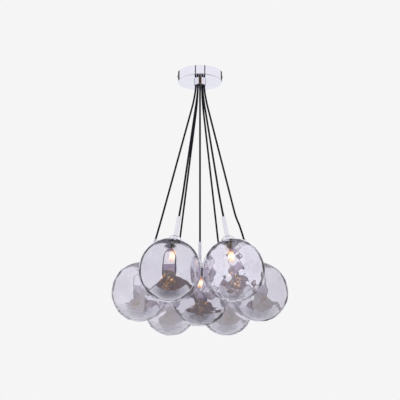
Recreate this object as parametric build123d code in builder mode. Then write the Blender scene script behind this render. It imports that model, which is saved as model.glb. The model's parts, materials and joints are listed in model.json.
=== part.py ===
"""Cluster pendant: a round chrome ceiling rose, a gatherer under it, and seven glass balls on black flexes.

Millimetres, +Z up. The origin is the middle of the ceiling face, so that everything hangs in -Z.
The viewer stands at -Y and sees two balls in front, one at each side, one in the middle and two behind.
"""

import math
import os

from build123d import *

os.makedirs("parts", exist_ok=True)

# ------------------------------------------------------------------ driving sizes
# Glass ball: two half spheres with a short straight band between them, so slightly taller than wide.
ball_width = 147.5
ball_band = 4.5
ball_gap = 2.5
glass_wall = 2.2

# Neck of the ball, which screws up into the cap.
neck_radius = 12.4
neck_wall = 2.2
neck_rise = 3.8
seal_thickness = 1.5

# Cap over the neck: straight rim, then a dome with a flat top that the stem stands on.
cap_radius = 14.6
cap_wall = 1.2
cap_height = 9.3
cap_dome_height = 3.4
cap_flat_radius = 6.0
cap_hole_radius = 4.15
thread_gap = 0.4

# Stem: a tube with a narrower threaded end that goes through the cap into the lamp holder.
stem_radius = 4.6
stem_bore_radius = 2.6
stem_length = 54.0
stem_thread_radius = 4.0
stem_thread_length = 7.8
stem_lip_radius = 0.8

# Lamp holder and its two-pin capsule lamp.
holder_radius = 9.0
holder_hub_radius = 6.5
holder_shoulder_height = 5.0
holder_length = 31.0
holder_gap = 0.1
pocket_width = 14.0
pocket_depth_across = 6.2
pocket_depth = 10.0
pinch_width = 12.4
pinch_thickness = 4.6
pinch_length = 13.0
pin_radius = 0.8
pin_spread = 4.5
pin_length = 5.5
capsule_radius = 6.75
capsule_length = 32.0
capsule_wall = 0.9
filament_radius = 0.9
filament_height = 9.0
filament_wire_radius = 0.35
filament_wire_spread = 2.6
seat_gap = 0.3

# Flex.
flex_diameter = 5.0
straight_above_stem = 60.7

# Gatherer: the small chrome disc that the seven flexes come out of.
gatherer_diameter = 32.0
gatherer_height = 10.0
bore_radius = 3.0
bore_circle = 11.0
bore_mouth_chamfer = 0.8
gatherer_edge = 0.6

# Ceiling rose.
rose_diameter = 120.0
rose_height = 25.0
rose_wall = 1.0
rose_edge_radius = 1.5

# Ceiling bracket, with a turned-down tab at each end for the cover screws.
bracket_width = 22.0
bracket_thickness = 1.5
bracket_fit = 0.3
tab_drop = 14.0
slot_spacing = 94.0
slot_width = 4.8
slot_length = 12.0
cable_entry_radius = 7.0

# Screws: M4 in the cover, M3 in the block, M2.5 in the gatherer, M2 in the cord stops.
cover_screw_depth = 9.0
cover_screw_radius = 1.9
cover_hole_radius = 2.2
cover_screw_length = 5.5
cover_head_radius = 3.5
cover_head_height = 1.2
thread_clearance = 0.05
gatherer_screw_radius = 1.0
gatherer_screw_ring_radius = 12.8
gatherer_screw_count = 3
gatherer_screw_depth = 5.0
gatherer_head_radius = 2.1
gatherer_head_height = 1.6
stop_screw_radius = 0.75
block_screw_radius = 1.5
block_head_radius = 2.6
earth_screw_x = -24.0
clamp_screw_length = 2.2
clamp_screw_inset = 3.0

# Cord stops: collars that take each flex's load on the floor of the rose.
stop_radius = 3.9
stop_height = 5.0
middle_stop_height = 9.0
flex_above_stop = 1.5

# Leads from the flexes to the terminal block.
lead_radius = 1.1
lead_bend_radius = 4.0
lead_entry = 5.0
lead_gap = 0.6
lead_to_bracket = 1.6
block_start_x = 20.0
block_length = 18.0
block_width = 28.0
block_height = 12.0
mains_hole_radius = 2.0
mains_hole_depth = 6.0
mains_depth = 7.0

# The rows of balls: depth of the ball's middle under the ceiling, and how far its stem leans outwards.
# The route is the flex's bends, as (outwards, down) from the mouth of its bore.
front_row = {"depth": 540.0, "lean": 17.4, "route": [(1.2, 14.0), (7.0, 44.0)]}
side_row = {"depth": 584.0, "lean": 15.2, "route": [(1.0, 14.0), (6.5, 47.0)]}
back_row = {"depth": 620.0, "lean": 14.5, "route": [(0.8, 15.0), (5.5, 53.0)]}
middle_row = {"depth": 596.0, "lean": 0.0, "route": []}

# The ring of balls, evenly spaced round the middle one, counted from the right towards the back.
ring = {
    "right": side_row,
    "back_right": back_row,
    "back_left": back_row,
    "left": side_row,
    "front_left": front_row,
    "front_right": front_row,
}

# ------------------------------------------------------------------ what follows from them
ring_radius = ball_width + ball_gap
ring_step = 360 / len(ring)
# The gatherer's screws stand midway between two bores.
gatherer_screw_ring = (gatherer_screw_ring_radius, gatherer_screw_count, ring_step / 2)
flex_radius = flex_diameter / 2
rose_radius = rose_diameter / 2
rose_inner_radius = rose_radius - rose_wall
floor_z = -rose_height + rose_wall
mouth_z = -rose_height - gatherer_height
tab_x = math.sqrt(rose_inner_radius**2 - (bracket_width / 2) ** 2) - bracket_fit
bracket_underside = -bracket_thickness

# Heights along a stem, measured up from the middle of its ball.
ball_end_radius = ball_width / 2
end_centre = ball_band / 2


def ball_surface(radius):
    """Height of the ball's outer face above its middle, at a radius near the neck."""
    return end_centre + math.sqrt(ball_end_radius**2 - radius**2)


cap_rim = ball_surface(neck_radius + thread_gap) + seat_gap
cap_top = cap_rim + cap_height + seat_gap
cap_inner_radius = neck_radius + thread_gap
neck_top = ball_surface(neck_radius) + neck_rise + seat_gap
stem_top = cap_top + stem_length
holder_top = cap_top - cap_wall
holder_mouth = holder_top - holder_length
thread_end = cap_top - stem_thread_length
socket_floor = thread_end - seat_gap
pinch_top = holder_mouth + pocket_depth - seat_gap
capsule_top = pinch_top - pinch_length + capsule_wall
capsule_tip = capsule_top - capsule_length


class Drop:
    """One ball on its flex: its middle, its stem's axis, and the planes its pieces are drawn on."""

    def __init__(self, name, azimuth, row):
        self.name = name
        self.swings = bool(row["route"])
        angle = math.radians(azimuth)
        lean = math.radians(row["lean"])
        up = Vector(0, 0, 1)
        outward = Vector(math.cos(angle), math.sin(angle), 0)
        reach = ring_radius if self.swings else 0.0
        self.centre = outward * reach - up * row["depth"]
        self.stem_up = up * math.cos(lean) - outward * math.sin(lean)
        across = outward * math.cos(lean) + up * math.sin(lean)
        self.across = across
        self.axis = Axis(self.centre, self.stem_up)
        # Local x runs across the stem and local y up it.
        self.side = Plane(origin=self.centre, x_dir=across, z_dir=across.cross(self.stem_up))
        # Looking along the stem, with the height given as an offset.
        self.section = Plane(origin=self.centre, x_dir=across, z_dir=self.stem_up)
        # The upright plane through the rose's middle, with local x outwards and local y up.
        self.flex_plane = Plane(origin=(0, 0, 0), x_dir=outward, z_dir=outward.cross(up))
        bore = bore_circle if self.swings else 0.0
        self.mouth = (bore, mouth_z)
        self.bore_at = outward * bore
        self.outward = outward
        self.route = [(bore + out, mouth_z - down) for out, down in row["route"]]
        if self.swings:
            self.route.append(self.on_stem(stem_top + straight_above_stem))
        self.route.append(self.on_stem(socket_floor))

    def on_stem(self, height):
        """A point on the stem's axis, in the flex plane's own two numbers."""
        point = self.flex_plane.to_local_coords(self.centre + self.stem_up * height)
        return (point.X, point.Y)


def save(piece, name):
    """Label a finished piece and write it to its own file."""
    piece.part.label = name
    export_step(piece.part, f"parts/{name}.step")


def bend_radii(points):
    """The largest arc at each bend that leaves a tenth of the shorter run beside it straight."""
    radii = []
    for before, bend, after in zip(points, points[1:], points[2:]):
        run_in = Vector(*bend) - Vector(*before)
        run_out = Vector(*after) - Vector(*bend)
        half_turn = math.radians(run_in.get_angle(run_out)) / 2
        radii.append(0.45 * min(run_in.length, run_out.length) / math.tan(half_turn))
    return radii


# ------------------------------------------------------------------ pieces of one drop
def make_flex(drop):
    """The free flex, from the mouth of its bore through the stem to the lamp holder."""
    points = [drop.mouth] + drop.route
    with BuildPart() as flex:
        radii = bend_radii(points)
        with BuildLine(drop.flex_plane) as path:
            if radii:
                FilletPolyline(*points, radius=radii)
            else:
                Line(*points)
        route = path.wire()
        print("flex", drop.name, "length", round(route.length), "radii", [round(r) for r in radii])
        start = Plane(origin=route @ 0, z_dir=route % 0)
        with BuildSketch(start):
            Circle(flex_radius)
        sweep(path=route)
        plain_volume = route.length * math.pi * flex_radius**2
        print("volume over section times length", round(flex.part.volume / plain_volume, 4))
        if drop.swings:
            # A ball end in the mouth of the bore, round which the flex swings.
            with Locations(Plane(origin=start.origin, z_dir=start.z_dir * -1)):
                Sphere(flex_radius, arc_size1=0)
    save(flex, f"flex_{drop.name}")


def make_stem(drop):
    """The chrome tube between the flex and the cap."""
    with BuildPart() as stem:
        with BuildSketch(drop.section.offset(cap_top)):
            Circle(stem_radius)
        extrude(amount=stem_length)
        fillet(stem.edges().filter_by(GeomType.CIRCLE).sort_by(drop.axis)[-1], stem_lip_radius)
        with BuildSketch(drop.section.offset(thread_end)):
            Circle(stem_thread_radius)
        extrude(amount=stem_thread_length)
        with BuildSketch(drop.section.offset(thread_end)):
            Circle(stem_bore_radius)
        extrude(amount=stem_length + stem_thread_length, mode=Mode.SUBTRACT)
    save(stem, f"stem_{drop.name}")


def cap_outline(radius, top, flat):
    """Half the outline of a cap: up its side and over its dome to the flat top."""
    shoulder = top - cap_dome_height
    Line((0, cap_rim), (radius, cap_rim))
    Line((radius, cap_rim), (radius, shoulder))
    dome = (radius - flat, cap_dome_height)
    middle = (flat + dome[0] * math.sin(math.pi / 4), shoulder + dome[1] * math.sin(math.pi / 4))
    ThreePointArc((radius, shoulder), middle, (flat, top))
    Line((flat, top), (0, top))
    Line((0, top), (0, cap_rim))


def make_cap(drop):
    """The domed chrome cap that hides the neck."""
    with BuildPart() as cap:
        with BuildSketch(drop.side):
            with BuildLine():
                cap_outline(cap_radius, cap_top, cap_flat_radius)
            make_face()
        revolve(axis=drop.axis)
        with BuildSketch(drop.side):
            with BuildLine():
                cap_outline(cap_inner_radius, cap_top - cap_wall, cap_flat_radius)
            make_face()
        revolve(axis=drop.axis, mode=Mode.SUBTRACT)
        with BuildSketch(drop.section.offset(cap_rim)):
            Circle(cap_hole_radius)
        extrude(amount=cap_top - cap_rim, mode=Mode.SUBTRACT)
    save(cap, f"cap_{drop.name}")


def make_holder(drop):
    """The ceramic lamp holder, screwed on the stem's end so that it clamps the cap."""
    shoulder = holder_top - holder_shoulder_height
    with BuildPart() as holder:
        with BuildSketch(drop.side):
            with BuildLine():
                Polyline(
                    (0, holder_mouth),
                    (holder_radius, holder_mouth),
                    (holder_radius, shoulder),
                    (holder_hub_radius, shoulder),
                    (holder_hub_radius, holder_top),
                    (0, holder_top),
                    close=True,
                )
            make_face()
        revolve(axis=drop.axis)
        with BuildSketch(drop.section.offset(socket_floor)):
            Circle(stem_thread_radius + holder_gap)
        extrude(amount=holder_top - socket_floor, mode=Mode.SUBTRACT)
        with BuildSketch(drop.section.offset(holder_mouth)):
            Rectangle(pocket_width, pocket_depth_across)
        extrude(amount=pocket_depth, mode=Mode.SUBTRACT)
        with BuildSketch(drop.section.offset(holder_mouth + pocket_depth)):
            with Locations((pin_spread, 0), (-pin_spread, 0)):
                Circle(pin_radius + holder_gap)
        extrude(amount=pin_length + seat_gap, mode=Mode.SUBTRACT)
    save(holder, f"lamp_holder_{drop.name}")


def make_seal(drop):
    """The silicone ring between the neck's rim and the cap."""
    with BuildPart() as seal:
        with BuildSketch(drop.section.offset(neck_top + seat_gap)):
            Circle(neck_radius)
            Circle(holder_radius + seat_gap, mode=Mode.SUBTRACT)
        extrude(amount=seal_thickness)
    save(seal, f"seal_{drop.name}")


def ball_outline(wall, neck, top):
    """Half the outline of the ball and its neck: end arc, straight band, end arc, then the neck."""
    radius = ball_end_radius - wall
    diagonal = radius * math.sin(math.pi / 4)

    def on_end(across):
        """A point of the upper end arc at a distance from the axis."""
        return (across, end_centre + math.sqrt(radius**2 - across**2))

    ThreePointArc((0, -end_centre - radius), (diagonal, -end_centre - diagonal), (radius, -end_centre))
    Line((radius, -end_centre), (radius, end_centre))
    ThreePointArc((radius, end_centre), on_end(diagonal), on_end(neck))
    Line(on_end(neck), (neck, top))
    Line((neck, top), (0, top))
    Line((0, top), (0, -end_centre - radius))


def make_globe(drop):
    """The hollow glass ball with its open neck."""
    with BuildPart() as globe:
        with BuildSketch(drop.side):
            with BuildLine():
                ball_outline(0, neck_radius, neck_top)
            make_face()
        revolve(axis=drop.axis)
        with BuildSketch(drop.side):
            with BuildLine():
                ball_outline(glass_wall, neck_radius - neck_wall, neck_top)
            make_face()
        revolve(axis=drop.axis, mode=Mode.SUBTRACT)
    save(globe, f"globe_{drop.name}")


def make_lamp(drop):
    """The capsule lamp: pins, pinch, hollow capsule, and the filament on its two wires."""
    with BuildPart() as lamp:
        with BuildSketch(drop.section.offset(pinch_top)):
            with Locations((pin_spread, 0), (-pin_spread, 0)):
                Circle(pin_radius)
        extrude(amount=pin_length)
        with BuildSketch(drop.section.offset(pinch_top)):
            Rectangle(pinch_width, pinch_thickness)
        extrude(amount=-pinch_length)
        with BuildSketch(drop.section.offset(capsule_tip + capsule_radius)):
            Circle(capsule_radius)
        extrude(amount=capsule_length - capsule_radius)
        with Locations(drop.section.offset(capsule_tip + capsule_radius)):
            Sphere(capsule_radius)
        with BuildSketch(drop.section.offset(capsule_tip + capsule_radius)):
            Circle(capsule_radius - capsule_wall)
        extrude(amount=capsule_length - capsule_radius - 2 * capsule_wall, mode=Mode.SUBTRACT)
        with Locations(drop.section.offset(capsule_tip + capsule_radius)):
            Sphere(capsule_radius - capsule_wall, mode=Mode.SUBTRACT)
        # The wires reach into the capsule's closed end, which is two walls thick.
        wire_foot = capsule_top - capsule_wall
        wire_end = capsule_tip + capsule_radius + filament_height
        with BuildSketch(drop.section.offset(wire_end)):
            with Locations((filament_wire_spread, 0), (-filament_wire_spread, 0)):
                Circle(filament_wire_radius)
        extrude(amount=wire_foot - wire_end)
        with BuildSketch(Plane(origin=drop.centre + drop.stem_up * wire_end, z_dir=drop.across)):
            Circle(filament_radius)
        extrude(amount=filament_wire_spread + filament_radius, both=True)
    save(lamp, f"lamp_{drop.name}")


# ------------------------------------------------------------------ pieces of the rose
def hexagon_spots():
    """The middles of the seven bores: six on the bore circle and one in the middle."""
    return [(drop.bore_at.X, drop.bore_at.Y) for drop in drops]


def make_rose():
    """The cover: a shallow chrome cup with its rim on the ceiling."""
    with BuildPart() as rose:
        with BuildSketch():
            Circle(rose_radius)
        extrude(amount=-rose_height)
        fillet(rose.edges().sort_by(Axis.Z)[0], rose_edge_radius)
        offset(amount=-rose_wall, openings=rose.faces().sort_by(Axis.Z)[-1])
        with BuildSketch(Plane.XY.offset(-rose_height)):
            with Locations(*hexagon_spots()):
                Circle(bore_radius)
            with PolarLocations(*gatherer_screw_ring):
                Circle(gatherer_screw_radius + thread_clearance)
        extrude(amount=rose_wall, mode=Mode.SUBTRACT)
        with BuildSketch(Plane.YZ.offset(-rose_radius)):
            with Locations((0, -cover_screw_depth)):
                Circle(cover_hole_radius)
        extrude(amount=rose_diameter, mode=Mode.SUBTRACT)
    save(rose, "ceiling_rose")


def make_bracket():
    """The steel strap that is screwed to the ceiling and carries the rose."""
    with BuildPart() as bracket:
        with BuildSketch():
            Rectangle(2 * tab_x, bracket_width)
            Circle(cable_entry_radius, mode=Mode.SUBTRACT)
            with Locations((slot_spacing / 2, 0), (-slot_spacing / 2, 0)):
                SlotOverall(slot_length, slot_width, mode=Mode.SUBTRACT)
            with Locations(*block_screw_spots):
                Circle(block_screw_radius + thread_clearance, mode=Mode.SUBTRACT)
            with Locations((earth_screw_x, 0)):
                Circle(cover_screw_radius + thread_clearance, mode=Mode.SUBTRACT)
        extrude(amount=-bracket_thickness)
        for side in (1, -1):
            with BuildSketch(Plane.YZ.offset(side * tab_x)):
                with Locations((0, -tab_drop / 2)):
                    Rectangle(bracket_width, tab_drop)
                with Locations((0, -cover_screw_depth)):
                    Circle(cover_screw_radius + thread_clearance, mode=Mode.SUBTRACT)
            extrude(amount=-side * bracket_thickness)
    save(bracket, "ceiling_bracket")


def make_cover_screws():
    """Two low-headed screws through the side of the rose into the bracket's tabs."""
    with BuildPart() as screws:
        for side in (1, -1):
            with BuildSketch(Plane.YZ.offset(side * rose_radius)):
                with Locations((0, -cover_screw_depth)):
                    Circle(cover_head_radius)
            extrude(amount=side * cover_head_height)
            with BuildSketch(Plane.YZ.offset(side * rose_radius)):
                with Locations((0, -cover_screw_depth)):
                    Circle(cover_screw_radius)
            extrude(amount=-side * cover_screw_length)
    save(screws, "cover_screws")


def make_gatherer():
    """The drilled disc under the rose, with eased bore mouths and three tapped holes in its top."""
    with BuildPart() as gatherer:
        with BuildSketch(Plane.XY.offset(-rose_height)):
            Circle(gatherer_diameter / 2)
        extrude(amount=-gatherer_height)
        chamfer(gatherer.edges().sort_by(Axis.Z)[0], gatherer_edge)
        with BuildSketch(Plane.XY.offset(mouth_z)):
            with Locations(*hexagon_spots()):
                Circle(bore_radius)
        extrude(amount=gatherer_height, mode=Mode.SUBTRACT)
        mouths = gatherer.edges().filter_by(GeomType.CIRCLE).group_by(Axis.Z)[0]
        chamfer(mouths.filter_by(lambda edge: edge.radius < 2 * bore_radius), bore_mouth_chamfer)
        with BuildSketch(Plane.XY.offset(-rose_height)):
            with PolarLocations(*gatherer_screw_ring):
                Circle(gatherer_screw_radius + thread_clearance)
        extrude(amount=-gatherer_screw_depth - seat_gap, mode=Mode.SUBTRACT)
    save(gatherer, "cord_gatherer")


def make_gatherer_screws():
    """Three screws from inside the rose that hold the gatherer."""
    with BuildPart() as screws:
        with BuildSketch(Plane.XY.offset(floor_z)):
            with PolarLocations(*gatherer_screw_ring):
                Circle(gatherer_head_radius)
        extrude(amount=gatherer_head_height)
        with BuildSketch(Plane.XY.offset(floor_z)):
            with PolarLocations(*gatherer_screw_ring):
                Circle(gatherer_screw_radius)
        extrude(amount=-rose_wall - gatherer_screw_depth)
    save(screws, "gatherer_screws")


def stop_top(drop):
    """Height of the top of a drop's cord stop: the middle one is taller, to reach its screw."""
    return floor_z + (stop_height if drop.swings else middle_stop_height)


def stop_screw_plane(drop):
    """The plane at the middle of a stop, facing the way its screw points."""
    height = stop_top(drop) - stop_height / 2
    facing = drop.outward if drop.swings else Vector(0, 1, 0)
    return Plane(origin=drop.bore_at + Vector(0, 0, height), z_dir=facing)


def make_cord_stops():
    """Seven collars on the floor of the rose, each pinched on its flex by one screw."""
    with BuildPart() as stops:
        for drop in drops:
            with BuildSketch(Plane.XY.offset(floor_z)):
                with Locations((drop.bore_at.X, drop.bore_at.Y)):
                    Circle(stop_radius)
                    Circle(flex_radius + thread_clearance, mode=Mode.SUBTRACT)
            extrude(amount=stop_top(drop) - floor_z)
            with BuildSketch(stop_screw_plane(drop)):
                Circle(stop_screw_radius + thread_clearance)
            extrude(amount=stop_radius, mode=Mode.SUBTRACT)
    save(stops, "cord_stops")


def make_stop_screws():
    """The seven small screws of the cord stops."""
    with BuildPart() as screws:
        for drop in drops:
            with BuildSketch(stop_screw_plane(drop).offset(flex_radius + thread_clearance)):
                Circle(stop_screw_radius)
            extrude(amount=stop_radius - flex_radius)
    save(screws, "stop_screws")


def make_cord_tails():
    """The part of each flex that is held: up its bore and through its stop."""
    with BuildPart() as tails:
        for drop in drops:
            foot = mouth_z + (flex_radius + seat_gap if drop.swings else 0.0)
            with BuildSketch(Plane.XY.offset(foot)):
                with Locations((drop.bore_at.X, drop.bore_at.Y)):
                    Circle(flex_radius)
            extrude(amount=stop_top(drop) + flex_above_stop - foot)
    save(tails, "cord_tails")


def make_leads():
    """The inner leads: up from each flex, then level into the terminal block."""
    with BuildPart() as leads:
        for drop in drops:
            x, y = drop.bore_at.X, drop.bore_at.Y
            foot = stop_top(drop) + flex_above_stop
            level = lead_levels[drop.name]
            with BuildLine(Plane(origin=(0, y, 0), x_dir=(1, 0, 0), z_dir=(0, -1, 0))) as path:
                FilletPolyline((x, foot), (x, level), (block_start_x + lead_entry, level), radius=lead_bend_radius)
            route = path.wire()
            with BuildSketch(Plane(origin=route @ 0, z_dir=route % 0)):
                Circle(lead_radius)
            sweep(path=route)
    save(leads, "inner_leads")


def make_terminal_block():
    """The insulating block under the bracket, where the leads and the mains meet."""
    with BuildPart() as block:
        with BuildSketch(Plane.XY.offset(bracket_underside)):
            with Locations((block_start_x + block_length / 2, 0)):
                Rectangle(block_length, block_width)
        extrude(amount=-block_height)
        for drop in drops:
            with BuildSketch(Plane.YZ.offset(block_start_x)):
                with Locations((drop.bore_at.Y, lead_levels[drop.name])):
                    Circle(lead_radius + thread_clearance)
            extrude(amount=lead_entry, mode=Mode.SUBTRACT)
        with BuildSketch(Plane.YZ.offset(block_start_x + block_length)):
            with Locations(*[(y, -mains_depth) for y in terminal_ways]):
                Circle(mains_hole_radius)
        extrude(amount=-mains_hole_depth, mode=Mode.SUBTRACT)
        with BuildSketch(Plane.XY.offset(bracket_underside - block_height)):
            with Locations(*clamp_screw_spots):
                Circle(block_screw_radius + thread_clearance)
        extrude(amount=clamp_screw_length, mode=Mode.SUBTRACT)
        with BuildSketch(Plane.XY.offset(bracket_underside - block_height)):
            with Locations(*block_screw_spots):
                Circle(block_head_radius + seat_gap)
        extrude(amount=block_height / 2, mode=Mode.SUBTRACT)
        with BuildSketch(Plane.XY.offset(bracket_underside)):
            with Locations(*block_screw_spots):
                Circle(block_screw_radius + thread_clearance)
        extrude(amount=-block_height / 2, mode=Mode.SUBTRACT)
    save(block, "terminal_block")


def make_terminal_screws():
    """The clamp screws of the block, the two screws that fix it, and the earth screw."""
    underside = bracket_underside - block_height
    with BuildPart() as screws:
        with BuildSketch(Plane.XY.offset(underside)):
            with Locations(*clamp_screw_spots):
                Circle(block_screw_radius)
        extrude(amount=clamp_screw_length)
        with BuildSketch(Plane.XY.offset(underside + block_height / 2)):
            with Locations(*block_screw_spots):
                Circle(block_head_radius)
        extrude(amount=-2 * seat_gap - block_screw_radius)
        with BuildSketch(Plane.XY.offset(underside + block_height / 2)):
            with Locations(*block_screw_spots):
                Circle(block_screw_radius)
        extrude(amount=block_height / 2 + bracket_thickness - seat_gap)
        with BuildSketch(Plane.XY.offset(bracket_underside)):
            with Locations((earth_screw_x, 0)):
                Circle(cover_head_radius)
        extrude(amount=-cover_screw_radius)
        with BuildSketch(Plane.XY.offset(bracket_underside)):
            with Locations((earth_screw_x, 0)):
                Circle(cover_screw_radius)
        extrude(amount=bracket_thickness - seat_gap)
    save(screws, "terminal_screws")


# ------------------------------------------------------------------ build
drops = [Drop(name, place * ring_step, row) for place, (name, row) in enumerate(ring.items())]
drops.append(Drop("centre", 0.0, middle_row))

# One terminal way for each line of bores across the rose. The leads of a way lie one over another.
bore_line = bore_circle * math.sin(math.radians(ring_step))
terminal_ways = (-bore_line, 0.0, bore_line)
block_middle_x = block_start_x + block_length / 2
block_screw_spots = [(block_middle_x, -bore_line / 2), (block_middle_x, bore_line / 2)]
clamp_screw_spots = [(block_start_x + clamp_screw_inset, y) for y in terminal_ways]
clamp_screw_spots += [(block_start_x + block_length - clamp_screw_inset, y) for y in terminal_ways]
lead_step = 2 * lead_radius + lead_gap
top_level = bracket_underside - lead_radius - lead_to_bracket
lead_levels = {
    "left": top_level,
    "centre": top_level - lead_step,
    "right": top_level - 2 * lead_step,
    "front_left": top_level,
    "front_right": top_level - lead_step,
    "back_left": top_level,
    "back_right": top_level - lead_step,
}

make_rose()
make_bracket()
make_cover_screws()
make_gatherer()
make_gatherer_screws()
make_cord_stops()
make_stop_screws()
make_cord_tails()
make_leads()
make_terminal_block()
make_terminal_screws()

for drop in drops:
    make_flex(drop)
    make_stem(drop)
    make_cap(drop)
    make_holder(drop)
    make_seal(drop)
    make_globe(drop)
    make_lamp(drop)
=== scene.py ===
# %% [markdown]
# # A cluster pendant in smoked glass
# Seven mirrored-smoke glass balls hang on black fabric flexes from one polished ceiling rose. The lesson
# dresses a measured model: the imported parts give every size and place, and each cell adds one finish or one
# finer piece. Lengths are in metres, with +Z up, and the origin is the middle of the rose's ceiling face.

# %% Load the measured parts
import json
import math

import bpy
import numpy as np
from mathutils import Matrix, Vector


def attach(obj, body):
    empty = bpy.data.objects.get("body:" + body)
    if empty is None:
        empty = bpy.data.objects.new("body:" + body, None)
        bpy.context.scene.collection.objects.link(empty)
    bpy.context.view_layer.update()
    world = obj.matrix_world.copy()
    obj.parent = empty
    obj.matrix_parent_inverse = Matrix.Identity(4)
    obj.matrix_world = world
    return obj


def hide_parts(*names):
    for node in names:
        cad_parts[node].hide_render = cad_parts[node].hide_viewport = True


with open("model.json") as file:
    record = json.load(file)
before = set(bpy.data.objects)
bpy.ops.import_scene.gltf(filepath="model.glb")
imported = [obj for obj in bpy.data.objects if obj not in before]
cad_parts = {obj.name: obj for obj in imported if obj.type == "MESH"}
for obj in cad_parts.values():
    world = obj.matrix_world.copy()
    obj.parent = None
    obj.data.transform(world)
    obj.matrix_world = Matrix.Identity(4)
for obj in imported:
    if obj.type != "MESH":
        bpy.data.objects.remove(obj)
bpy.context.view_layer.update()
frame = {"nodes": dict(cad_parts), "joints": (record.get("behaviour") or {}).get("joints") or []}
MM = 0.001
DROPS = ("right", "back_right", "back_left", "left", "front_left", "front_right", "centre")

# %% [markdown]
# ## The camera
# The photograph was taken from a little below the middles of the balls, so that the rose shows its
# underside. A camera is a place, a direction and a focal length. Here the direction is given by two angles,
# since they are what one reads from a picture: how far round the object the camera stands, and how far it
# looks up.

# %% Camera
camera_distance = 1.665
camera_height = -0.6663
camera_turn = math.radians(1.90)
camera_pitch = math.radians(10.84)
focal_in_frame_widths = 652.0 / 400.0

lens = bpy.data.cameras.new("camera")
lens.sensor_width = 36.0
lens.lens = focal_in_frame_widths * lens.sensor_width
camera = bpy.data.objects.new("camera", lens)
camera.location = (
    -camera_distance * math.sin(camera_turn),
    -camera_distance * math.cos(camera_turn),
    camera_height,
)
looking = Vector((
    math.sin(camera_turn) * math.cos(camera_pitch),
    math.cos(camera_turn) * math.cos(camera_pitch),
    math.sin(camera_pitch),
))
camera.rotation_euler = looking.to_track_quat("-Z", "Y").to_euler()
bpy.context.scene.collection.objects.link(camera)
bpy.context.scene.camera = camera
print("lens", round(lens.lens, 1), "mm, pitch", round(math.degrees(camera_pitch), 1), "degrees")

# %% [markdown]
# ## Where each drop hangs
# A drop is one ball with its stem. Its stem leans, and everything on it is turned round the stem's own
# axis, so each drop gets three directions of its own: up the stem, across it, and sideways. The axis is
# read from the joint that lets the lamp out, and the ball's middle from the ball's own points, so that
# neither is typed again.

# %% Measure the drops
ball_radius = 0.07375
band_half = 0.00225
ball_height = 2 * (ball_radius + band_half)
# A stem that leans less than this, sideways over length, counts as upright.
LEAST_LEAN = 0.01


def mesh_points(mesh):
    """All points of a mesh, as one array of rows (x, y, z)."""
    points = np.empty(len(mesh.vertices) * 3, np.float32)
    mesh.vertices.foreach_get("co", points)
    return points.reshape(-1, 3).astype(float)


class Drop:
    """The middle of a ball and the three directions of its stem: up, across (outwards) and side."""

    def __init__(self, name):
        self.name = name
        joint = next(j for j in frame["joints"] if j["child"] == "lamp_" + name)
        self.up = -np.array(joint["axis"], float)
        self.up /= np.linalg.norm(self.up)
        flat = np.array([-self.up[0], -self.up[1], 0.0])
        self.swings = bool(np.linalg.norm(flat) > LEAST_LEAN)
        self.outward = flat / np.linalg.norm(flat) if self.swings else np.array([1.0, 0.0, 0.0])
        self.side = np.cross(self.outward, [0.0, 0.0, 1.0])
        self.across = np.cross(self.up, self.side)
        points = mesh_points(frame["nodes"]["globe_" + name].data)
        reach = points @ np.array([self.across, self.side]).T
        middle = (reach.min(0) + reach.max(0)) / 2
        lowest = (points @ self.up).min()
        self.centre = middle[0] * self.across + middle[1] * self.side + (lowest + ball_height / 2) * self.up
        self.body = "drop_" + name if self.swings else "root"

    def on_stem(self, height):
        """The point of the stem's axis at a height above the ball's middle."""
        return self.centre + self.up * height

    def place(self, local):
        """An array of (across, side, up) measured from the ball's middle, as points of the whole object."""
        return self.centre + local @ np.array([self.across, self.side, self.up])


drops = [Drop(name) for name in DROPS]
for drop in drops:
    lean = math.degrees(math.acos(min(1.0, drop.up[2])))
    print(drop.name, "ball middle", (drop.centre / MM).round(1), "mm, lean", round(lean, 1), "degrees")

# %% [markdown]
# ## One way to make every surface
# Nearly all the new pieces are grids: rows of points round an axis or along a path. A single helper turns
# such a grid into a mesh. It joins the last column to the first, so that no seam is left, and closes an end
# with one point.

# %% Helper: a closed grid of points becomes a mesh
def grid_mesh(name, rings, first_tip=None, last_tip=None):
    """A mesh from an array rings[row, column, xyz], closed round each row.

    Face (i, j) joins ring i to ring i + 1 between columns j and j + 1. A tip is one more point, joined to the
    whole first or last ring by triangles.
    """
    rows, columns = rings.shape[:2]
    index = np.arange(rows * columns).reshape(rows, columns)
    beside = np.roll(index, -1, axis=1)
    quads = np.stack([index[:-1], beside[:-1], beside[1:], index[1:]], axis=-1).reshape(-1, 4)
    points = [rings.reshape(-1, 3)]
    faces = quads.tolist()
    count = rows * columns
    for tip, ring, flipped in ((first_tip, 0, True), (last_tip, rows - 1, False)):
        if tip is not None:
            points.append(np.asarray(tip, float).reshape(1, 3))
            fan = np.stack([index[ring], beside[ring], np.full(columns, count)], axis=-1)
            faces += (fan[:, ::-1] if flipped else fan).tolist()
            count += 1
    mesh = bpy.data.meshes.new(name)
    mesh.from_pydata(np.concatenate(points).tolist(), [], faces)
    mesh.polygons.foreach_set("use_smooth", np.ones(len(mesh.polygons), bool))
    mesh.update()
    return mesh


def add_piece(name, mesh, body, slot, *replaced):
    """Link a mesh as a piece that rides on a body, and hide the parts it stands for. The slot, a finish's
    name, is not used.
    """
    piece = bpy.data.objects.new(name, mesh)
    bpy.context.scene.collection.objects.link(piece)
    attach(piece, body)
    if replaced:
        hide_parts(*replaced)
    return piece


print("helpers ready: grid_mesh, add_piece")
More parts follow.
